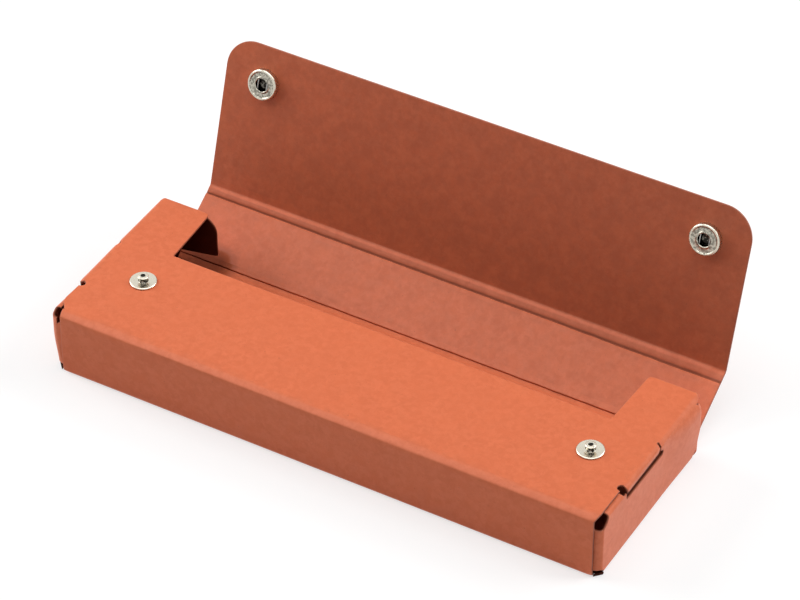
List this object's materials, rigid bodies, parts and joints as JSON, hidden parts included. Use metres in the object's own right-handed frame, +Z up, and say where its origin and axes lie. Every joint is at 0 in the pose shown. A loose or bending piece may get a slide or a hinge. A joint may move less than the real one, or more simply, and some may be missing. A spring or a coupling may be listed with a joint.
{
  "type": "pen case",
  "caption": "Slim pen case folded from one stiff sheet, with an open notched top, a creased back panel and a long flap that closes over it with snap fasteners.",
  "frame": {"origin": "middle of the bottom's outer face, where the case rests", "axes": "+X along the length of the case, +Y to the back where the creases are, +Z up"},
  "size_m": [0.19, 0.1037, 0.064],
  "materials": {
    "sheet": "matt pressed fibre sheet with a fine mottled grain",
    "nickel": "nickel plated, slightly brushed",
    "spring_steel": "drawn wire"
  },
  "bodies": {
    "box": {"bottom_panel": "sheet", "front_wall": "sheet", "top_panel": "sheet", "back_crease_bead": "sheet", "left_end_wall": "sheet", "right_end_wall": "sheet", "left_lock_tab": "sheet", "right_lock_tab": "sheet", "left_front_tuck_flap": "sheet", "right_front_tuck_flap": "sheet", "left_top_tuck_flap": "sheet", "right_top_tuck_flap": "sheet", "left_snap_stud": "nickel", "right_snap_stud": "nickel", "left_stud_post": "nickel", "right_stud_post": "nickel"},
    "back": {"back_panel": "sheet", "flap_crease_bead": "sheet"},
    "flap": {"closing_flap": "sheet", "left_snap_cap": "nickel", "right_snap_cap": "nickel", "left_snap_socket": "nickel", "right_snap_socket": "nickel", "left_socket_spring": "spring_steel", "right_socket_spring": "spring_steel"},
    "left_dust": {"left_dust_flap": "sheet"},
    "right_dust": {"right_dust_flap": "sheet"}
  },
  "joints": [
    {"name": "back_crease", "type": "hinge", "parent": "box", "child": "back", "pos_m": [0, 0.03365, 0.0013], "axis": [1, 0, 0], "range_deg": [-31, 59]},
    {"name": "flap_crease", "type": "hinge", "parent": "back", "child": "flap", "pos_m": [0, 0.05491, 0.01407], "axis": [1, 0, 0], "range_deg": [-42, 48]},
    {"name": "left_dust_fold", "type": "hinge", "parent": "box", "child": "left_dust", "pos_m": [-0.0926, 0.02955, 0.0113], "axis": [0, 0, -1], "range_deg": [0, 75], "stiffness_Nm_per_rad": 0.0005},
    {"name": "right_dust_fold", "type": "hinge", "parent": "box", "child": "right_dust", "pos_m": [0.0926, 0.02955, 0.0113], "axis": [0, 0, 1], "range_deg": [0, 75], "stiffness_Nm_per_rad": 0.0005}
  ]
}
